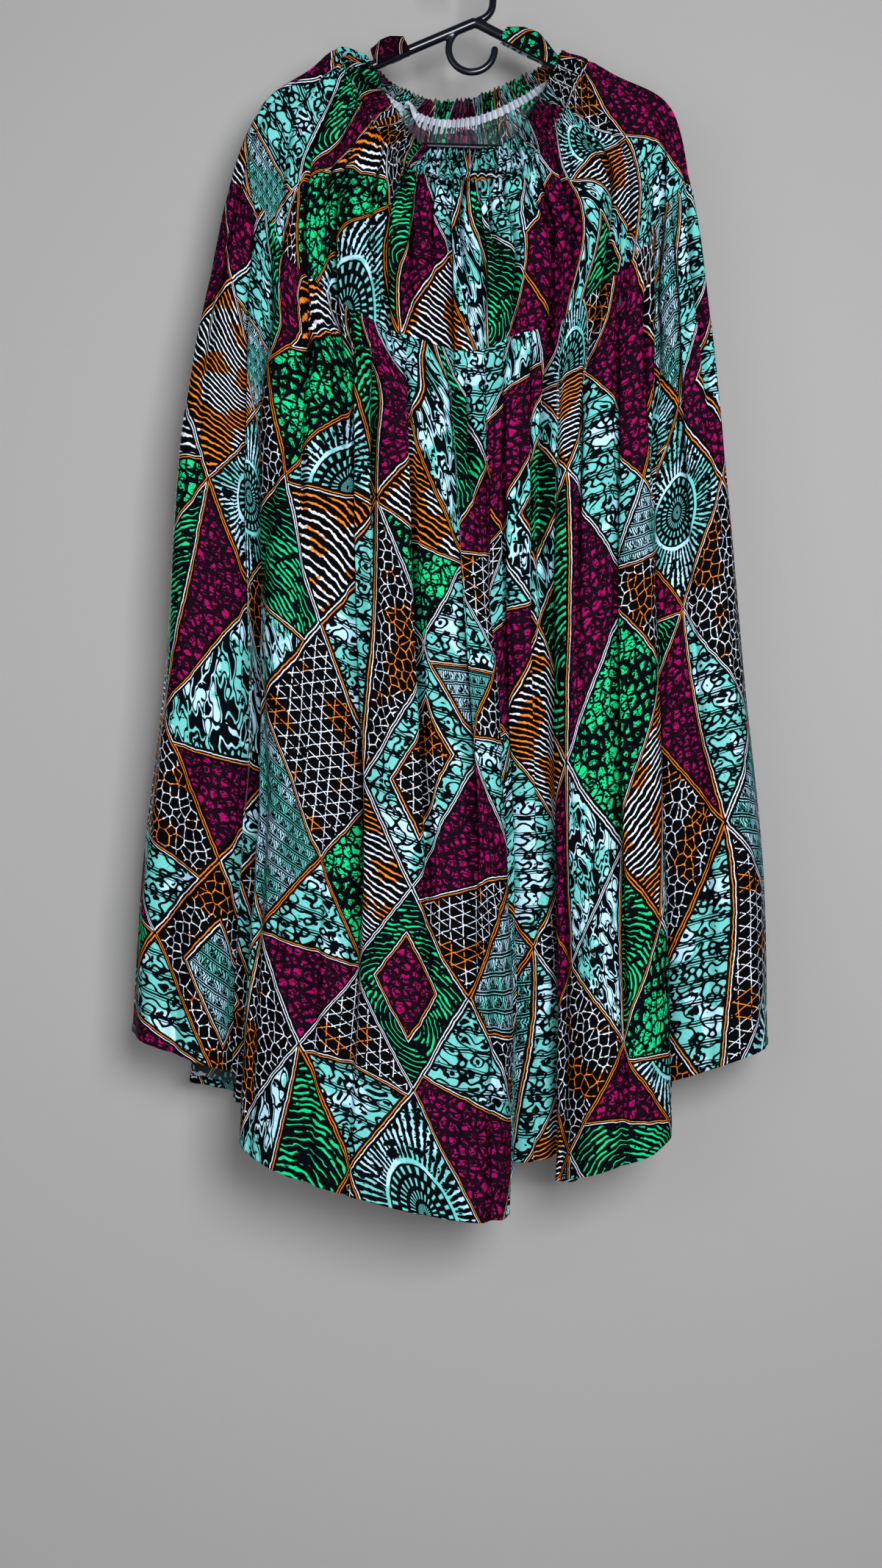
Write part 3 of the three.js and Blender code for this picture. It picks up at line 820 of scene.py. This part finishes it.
# tone: how light its colours are. through: how far it has faded. fill: the one texture it is cut from.
cottonFinish = {
    "printed_cotton": {"rough": 0.72, "tone": 1},
    # the reverse's lower tone is painted shade: the garment's inside is darkened as if in shadow, while its
    # faded cast is its own colour
    "printed_cotton_reverse": {"rough": 0.82, "tone": 0.84, "through": 0.24},
    "waist_casing": {"rough": 0.74, "tone": 0.8},
    "loop_cotton_dark": {"rough": 0.74, "tone": 0.45, "fill": 0},
    "loop_cotton_green": {"rough": 0.74, "tone": 0.8, "fill": 1},
}
fadedCotton = srgb(132, 146, 152)
selvedgeFinish = {"color": srgb(182, 186, 197), "rough": 0.8, "weave": 0.4}


def printedCotton(name):
    finish = cottonFinish[name]
    material, tree, shader = newMaterial(name, finish["rough"])
    place = clothPlace(tree)
    design = placeGroup(tree, patchPrint, Vector=place, Fill=finish.get("fill", -1))
    weave = placeGroup(tree, cottonWeave, Vector=place)
    color = design["Color"]
    if "through" in finish:
        color = blend(design["Ink"] * 0.1 + finish["through"], color, fadedCotton)
    toned = blend(1, color, weave["Tone"] * finish["tone"], "MULTIPLY")
    feed(shader.inputs["Base Color"], toned)
    bumpOf(shader, weave["Height"], 0.35, 0.0002)
    return material


def plainSelvedge():
    material, tree, shader = newMaterial("selvedge_white", selvedgeFinish["rough"], selvedgeFinish["color"])
    weave = placeGroup(tree, cottonWeave, Vector=clothPlace(tree))
    bumpOf(shader, weave["Height"], selvedgeFinish["weave"], 0.0002)
    return material


cottonSides = [printedCotton("printed_cotton"), printedCotton("printed_cotton_reverse")]
selvedge = plainSelvedge()
casingSides = [printedCotton("waist_casing"), selvedge, cottonSides[1], selvedge]
loopSides = {"left": [printedCotton("loop_cotton_dark"), cottonSides[1]],
             "right": [printedCotton("loop_cotton_green"), cottonSides[1]]}

# The lower tier, in millimetres. width, cut: its flat size. printFrom: where along the print it is cut. Its
# hem is turned up inside, with a groove for the stitching.
tier = {
    "width": {"front": 1160, "back": 1100},
    "cut": 868,
    "printFrom": {"front": 0, "back": 1400},
    "columns": {"front": 400, "back": 330},
    "wall": 0.9, "tuck": 1.2, "turned": 8, "inside": 1.7, "stitch": 6.5, "groove": 0.45, "wave": 1.6,
}


def makeTier(name):
    width, seam, bottom = tier["width"][name], form["tierSeam"], form["hem"]
    downs = np.r_[seam - 5, seam - 2.5, spaced(seam - 0.5, bottom - 20, 1.6, 8.8),
                  bottom - np.array([14, 10, 8, tier["stitch"], 5, 2, 0])]
    turned = bottom - np.array([0, 3, tier["turned"]])
    points, normals, places = foldedCloth(name, np.r_[downs, turned], tier["columns"][name], width)
    share = np.linspace(0, 1, points.shape[1])
    offset = -tier["tuck"] * (1 - smoothStep(downs, seam - 5, 5))
    offset -= 0.25 * (1 - smoothStep(downs, seam, 4))
    offset -= tier["groove"] * (np.abs(downs - (bottom - tier["stitch"])) < 0.1)
    offset = np.r_[offset, -0.5 * tier["inside"], -tier["inside"], -tier["inside"]]
    points += normals * offset[:, None, None]
    ways = np.r_[downs, 2 * bottom - turned + 1]
    waves = tier["wave"] * smoothStep(ways, bottom - 40, 40)[:, None]
    points[:, :, 2] += waves * softNoise(share[None] * width / 26, ways[:, None] / 400, 51)
    points += normals * (waves * softNoise(share[None] * width / 19, ways[:, None] / 300, 52))[..., None]
    return clothPiece("tier_", tier, name, points, places, ways - seam, cottonSides, tier["wall"],
                      facesUp=name == "back")


# The upper tier, its top edge tucked under the casing.
yoke = {
    "width": {"front": 880, "back": 850},
    "cut": 170,
    "printFrom": {"front": 60, "back": 2300},
    "columns": 510, "wall": 0.9, "tuck": 1.8,
}


def makeYoke(name):
    width = yoke["width"][name]
    downs = np.r_[spaced(25, 190, 2.4, 4.2), 191.5, 193, 194, 195.2]
    points, normals, places = foldedCloth(name, downs, yoke["columns"], width)
    edge = -0.2 * smoothStep(downs, 191.5, 4) - yoke["tuck"] * (1 - smoothStep(downs, 27, 6))
    points += normals * edge[:, None, None]
    return clothPiece("yoke_upper_", yoke, name, points, places, downs - form["bandDepth"], cottonSides,
                      yoke["wall"], facesUp=name == "back")


# The casing, cut as wide as the yoke: up its outside, over the top and down its inside to the selvedge.
# standOff: how far its outside stands from the yoke. rumples: where the selvedge flips up or droops at the
# back, each one's place, width, lift and way forward.
casing = {
    "cut": 61, "columns": 612, "wall": 0.7, "selvedge": 17, "frills": 51, "frill": 1.5,
    "outside": (31, 29.5, 28, 26, 23, 20, 17, 14, 11, 8, 5, 2.5),
    "standOff": (-1.2, -0.2, 0.7, 1.2, 1.5, 1.6, 1.6, 1.6, 1.6, 1.5, 1.3, 0.9),
    "inside": (2, 4.5, 7, 9.5, 12, 14.5, 17, 18.2, 21, 24, 27, 29.5),
    "rumples": ((0.33, 0.022, 15, 7), (0.43, 0.05, -6, 2), (0.52, 0.03, 3, 1.5)),
}


def makeCasing(name):
    width = yoke["width"][name]
    outside, inside = np.array(casing["outside"], float), np.array(casing["inside"], float)
    downs = np.r_[outside, 0, inside]
    points, normals, places = foldedCloth(name, downs, casing["columns"], width)
    share = np.linspace(0, 1, points.shape[1])
    points += normals * np.r_[casing["standOff"], 0, -0.9 - 0.02 * inside][:, None, None]
    frill = softNoise(share * width / 9, np.zeros_like(share), 61)
    frill += 0.8 * np.sin(2 * pi * share * casing["frills"])
    rise = casing["frill"] + casing["frill"] * frill
    points[:, :, 2] += np.exp(-(downs / 4.5) ** 2)[:, None] * rise
    loose = np.r_[outside * 0, 0, smoothStep(inside, 15, 12)][:, None]
    for place, wide, lift, forward in casing["rumples"] if name == "back" else ():
        bump = np.exp(-(((share - place) / wide) ** 2))[None] * loose
        points[:, :, 2] += lift * bump
        points[:, :, 1] -= forward * bump
    inwards = loose * (0.6 + 1.3 * softNoise(share[None] * width / 22, inside[-1] / 40, 62))
    points -= normals * inwards[..., None]
    slots = np.zeros((len(downs) - 1, casing["columns"]), int)
    slots[np.r_[outside * 0, 0, inside][:-1] >= casing["selvedge"]] = 1
    return clothPiece("waist_casing_", yoke, name, points, places, np.r_[-outside, 0, inside], casingSides,
                      casing["wall"], slots.ravel(), facesUp=name == "front")


pieces = {}
for name in ("front", "back"):
    pieces["tier", name] = makeTier(name)
    pieces["yoke", name] = makeYoke(name)
    pieces["casing", name] = makeCasing(name)
    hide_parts("skirt_" + name)
    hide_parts("yoke_" + name)
    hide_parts("waistband_" + name)
for (part, name), piece in pieces.items():
    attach(piece, "root")
    held, rests = ("gathered", ["hanger"]) if part == "casing" else ("hung", [])
    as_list(rests)
print("cloth made:", {p.name: len(p.data.polygons) for p in pieces.values()})

# The hanger, as in the part's source, in millimetres and degrees.
hanger = {
    "tilt": 2, "tube": 5, "barTube": 3.5, "slope": 25, "drop": 125, "endRadius": 23,
    "hookTube": 3.75, "hookRadius": 22, "hookShift": 4.2, "hookEnd": 215,
    "stemStart": 8, "stemRadius": 17, "stemTop": 56,
    "smallTube": 3.6, "smallRadius": 23, "smallShift": -2.4, "smallDrop": 26.8,
    "sides": 20, "voxel": 0.9, "rounding": 6,
}
hookTop = hanger["stemTop"] + hanger["hookRadius"] - hanger["hookTube"]
hangerApex = np.array([hanger["hookShift"], 0, -hookTop])


def onHanger(points):
    # from about the hanger's apex to its place: it leans a little about its hook
    points = np.asarray(points, float) + hangerApex
    tilt = radians(hanger["tilt"])
    x, z = points[..., 0].copy(), points[..., 2].copy()
    points[..., 0] = x * cos(tilt) + z * sin(tilt)
    points[..., 2] = z * cos(tilt) - x * sin(tilt)
    return points


def arc(x, z, radius, start, end, step=6):
    turns = np.radians(np.linspace(start, end, max(int(abs(end - start) / step), 2) + 1))
    return [(x + radius * cos(turn), 0, z + radius * sin(turn)) for turn in turns]


def rodAlong(line, radius, roundEnds=False):
    # points and faces of a round rod along a line in the hanger's plane, its last end flat or half round
    line = np.array(line, float)
    line = line[np.r_[True, np.linalg.norm(np.diff(line, axis=0), axis=1) > 0.01]]
    scale = np.ones(len(line))
    if roundEnds:
        way = line[-1] - line[-2]
        way /= np.linalg.norm(way)
        bends = np.radians(np.linspace(15, 88, 6))
        line = np.vstack([line] + [line[-1] + way * radius * sin(bend) for bend in bends])
        scale = np.r_[scale, np.cos(bends)]
    along = np.gradient(line, axis=0)
    along /= np.linalg.norm(along, axis=1, keepdims=True)
    side = np.cross(along, (0, 1, 0))
    sides = hanger["sides"]
    turns = np.linspace(0, 2 * pi, sides, endpoint=False)
    ring = side[:, None] * np.cos(turns)[None, :, None] + np.array([0, 1, 0]) * np.sin(turns)[None, :, None]
    points = (line[:, None] + ring * (radius * scale)[:, None, None]).reshape(-1, 3)
    loop = np.arange(sides)
    last = (len(line) - 1) * sides
    faces = []
    for start in range(0, last, sides):
        rim = start + np.stack([loop, np.roll(loop, -1)])
        faces += np.stack([*rim, *(rim + sides)[::-1]], -1).tolist()
    return points, faces + [loop[::-1].tolist(), (last + loop).tolist()]


def hangerRods():
    slope = radians(hanger["slope"])
    drop, r = hanger["drop"], hanger["endRadius"]
    endX = (drop - r - r / cos(slope)) / tan(slope)
    turn = arc(endX, r - drop, r, 90 - hanger["slope"], -90)
    for side in (-1, 1):
        yield rodAlong([(side * x, y, z) for x, y, z in [(0, 0, 0)] + turn], hanger["tube"])
    barEnd = endX + hanger["tube"]
    yield rodAlong([(-barEnd, 0, -drop), (0, 0, -drop), (barEnd, 0, -drop)], hanger["barTube"])
    startX, startZ = hanger["stemStart"] * cos(slope), hanger["stemStart"] * sin(slope)
    bendX = startX - hanger["stemRadius"] * sin(slope)
    bendZ = startZ + hanger["stemRadius"] * cos(slope)
    bend = arc(bendX, bendZ, hanger["stemRadius"], hanger["slope"] - 90, 0)
    bow = arc(-hanger["hookShift"], hanger["stemTop"], hanger["hookRadius"], 0, hanger["hookEnd"])
    yield rodAlong([(0, 0, 0)] + bend + bow, hanger["hookTube"], roundEnds=True)
    ring = arc(hanger["smallShift"], -hanger["smallDrop"], hanger["smallRadius"], 90, 360)
    yield rodAlong(ring, hanger["smallTube"], roundEnds=True)


def makeHanger(material):
    points, faces = [], []
    for rodPoints, rodFaces in hangerRods():
        start = sum(len(p) for p in points)
        points.append(rodPoints)
        faces += [[start + n for n in face] for face in rodFaces]
    piece = addMesh("hanger_moulding", (onHanger(np.vstack(points)) * mm).tolist(), faces, [material])
    # one moulding: the rods melt together and their joints round over
    melt = piece.modifiers.new("melt", "REMESH")
    melt.mode = "VOXEL"
    melt.voxel_size = hanger["voxel"] * mm
    melt.use_smooth_shade = True
    ease = piece.modifiers.new("ease", "SMOOTH")
    ease.factor = 0.5
    ease.iterations = hanger["rounding"]
    return piece


plasticFinish = {"dark": srgb(9, 11, 20), "light": srgb(17, 21, 36), "gloss": 0.5, "rough": 0.14,
                 "uneven": 0.16, "skin": 0.12}


def mouldedPlastic():
    # near-black, with a faint unevenness in its skin
    finish = plasticFinish
    material, tree, shader = newMaterial("hanger_plastic", finish["rough"], gloss=finish["gloss"])
    place = addNode(tree, "TexCoord", {}, "Object")
    spot, skin = noiseOf(place, 60, 2, space="3D"), noiseOf(place, 240, 1, space="3D")
    feed(shader.inputs["Roughness"], spot * finish["uneven"] + finish["rough"])
    feed(shader.inputs["Base Color"], blend(spot, finish["dark"], finish["light"]))
    bumpOf(shader, skin, finish["skin"], 0.0004)
    return material


hangerPiece = makeHanger(mouldedPlastic())
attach(hangerPiece, "root")
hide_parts("hanger")
print("hanger made")

# The hanging loops, cotton strips folded over the arms. inner, outer: a loop's ends along its arm from the
# apex. foot: its lower edge over the arm's axis. crown: its folded top edge from inner to outer.
loops = {
    "left": {"inner": 72, "outer": 107, "foot": -3, "crown": (15, 19, 19, 16), "cut": 50},
    "right": {"inner": 31, "outer": 92, "foot": -5, "crown": (10, 17, 18, 13, 6), "cut": 50},
}
loopShape = {"depth": 7, "round": 0.8, "square": 0.45, "rumple": 0.9, "sway": 0.8, "wall": 0.8, "around": 52,
             "printFrom": 3000}


def makeLoop(name):
    loop, shape = loops[name], loopShape
    side = -1 if name == "left" else 1
    slope = radians(hanger["slope"])
    along, over = np.meshgrid(np.linspace(0, 1, 49), np.linspace(0, 1, 57), indexing="ij")
    stops = np.linspace(0, 1, len(loop["crown"]))
    top = np.interp(along, stops, loop["crown"]) + shape["rumple"] * softNoise(along * 5, over * 2, 31)
    lift = np.clip(np.sin(pi * over), 0, 1) ** shape["round"]
    height = loop["foot"] + (top - loop["foot"]) * lift
    far = loop["inner"] + (loop["outer"] - loop["inner"]) * along
    lean = np.cos(pi * over)
    depth = -np.sign(lean) * shape["depth"] * np.abs(lean) ** shape["square"]
    depth += shape["sway"] * softNoise(along * 6 + 9, over * 5, 32)
    points = onHanger(np.stack([
        side * (far * cos(slope) + height * sin(slope)),
        depth,
        -far * sin(slope) + height * cos(slope),
    ], -1))
    flat = np.stack([far, over * shape["around"] + shape["printFrom"]], -1)
    return meshFrom("hang_loop_cloth_" + name, points, flat, loopSides[name], shape["wall"], facesUp=side < 0)


for name in loops:
    loop = makeLoop(name)
    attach(loop, "root")
    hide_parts("hang_loop_" + name)
print("loops made")

# The camera stands level with the middle of the lower tier. tall: how much it takes in at the hanger.
view = {"x": -0.0324, "z": -0.836, "away": 1.7, "tall": 1.568, "sensor": 36}
camera = addObject("camera", bpy.data.cameras.new("camera"))
camera.location = (view["x"], -view["away"], view["z"])
camera.rotation_euler = (pi / 2, 0, 0)
camera.data.sensor_fit = "VERTICAL"
camera.data.sensor_height = view["sensor"]
camera.data.lens = view["sensor"] * view["away"] / view["tall"]
scene.camera = camera
scene.view_settings.view_transform = "Standard"
scene.view_settings.look = "Medium High Contrast"

lamps = {
    "key": {"at": (0.5, -2.1, -0.35), "size": 0.9, "power": 49, "aim": (-0.3, 0, -0.8)},
    "fill": {"at": (-1.5, -2.2, -0.5), "size": 1.8, "power": 14, "aim": (0, 0, -0.8)},
    "low": {"at": (0.0, -2.2, -1.3), "size": 0.5, "power": 5, "aim": (0, 0, -0.6)},
    "back": {"at": (-0.9, 2.1, -0.1), "size": 1.2, "power": 60, "aim": (0, 0, -0.8)},
}
lampColor = (0.965, 0.985, 1)
for name, lamp in lamps.items():
    light = bpy.data.lights.new(name, "AREA")
    light.size = lamp["size"]
    light.energy = lamp["power"]
    light.color = lampColor
    holder = addObject(name, light)
    holder.location = lamp["at"]
    toward = np.subtract(lamp["aim"], lamp["at"])
    tip = acos(-toward[2] / np.linalg.norm(toward))
    holder.rotation_euler = (tip, 0, atan2(toward[1], toward[0]) - pi / 2)
print("camera and lamps placed")

# A pale wall panel close behind, seen only from its front, and a pale floor, in metres.
stage = {
    "tone": srgb(158, 156, 156), "rough": 0.9,
    "wallY": 0.075, "across": (-0.62, 0.56), "high": (-1.78, 0.1),
    "floorZ": -1.95, "reach": (-5.0, 5.0),
}


def wallPaint():
    material, tree, shader = newMaterial("pale_wall", stage["rough"], stage["tone"])
    facing = addNode(tree, "NewGeometry", {}, "Backfacing")
    unseen = facing.upper(addNode(tree, "LightPath", {}, "Is Shadow Ray"))
    clear = addNode(tree, "BsdfTransparent", {})
    mix = addNode(tree, "MixShader", {0: unseen, 1: Wire(tree, shader.outputs[0]), 2: clear})
    feed(tree.nodes["Material Output"].inputs["Surface"], mix)
    return material


panel = ((0, 0), (1, 0), (1, 1), (0, 1))
wall = [(stage["across"][i], stage["wallY"], stage["high"][j]) for i, j in panel]
floor = [(stage["reach"][i], stage["reach"][j], stage["floorZ"]) for i, j in panel]
floorPaint = newMaterial("pale_floor", stage["rough"], stage["tone"])[0]
for name, corners, paint in (("backdrop", wall, wallPaint()), ("floor", floor, floorPaint)):
    addMesh(name, corners, [(0, 1, 2, 3)], [paint])

ambient = {"Color": (0.56, 0.54, 0.52, 1), "Strength": 0.3}
world = bpy.data.worlds.new("studio")
world.use_nodes = True
for entry, value in ambient.items():
    world.node_tree.nodes["Background"].inputs[entry].default_value = value
scene.world = world
print("wall and floor made")
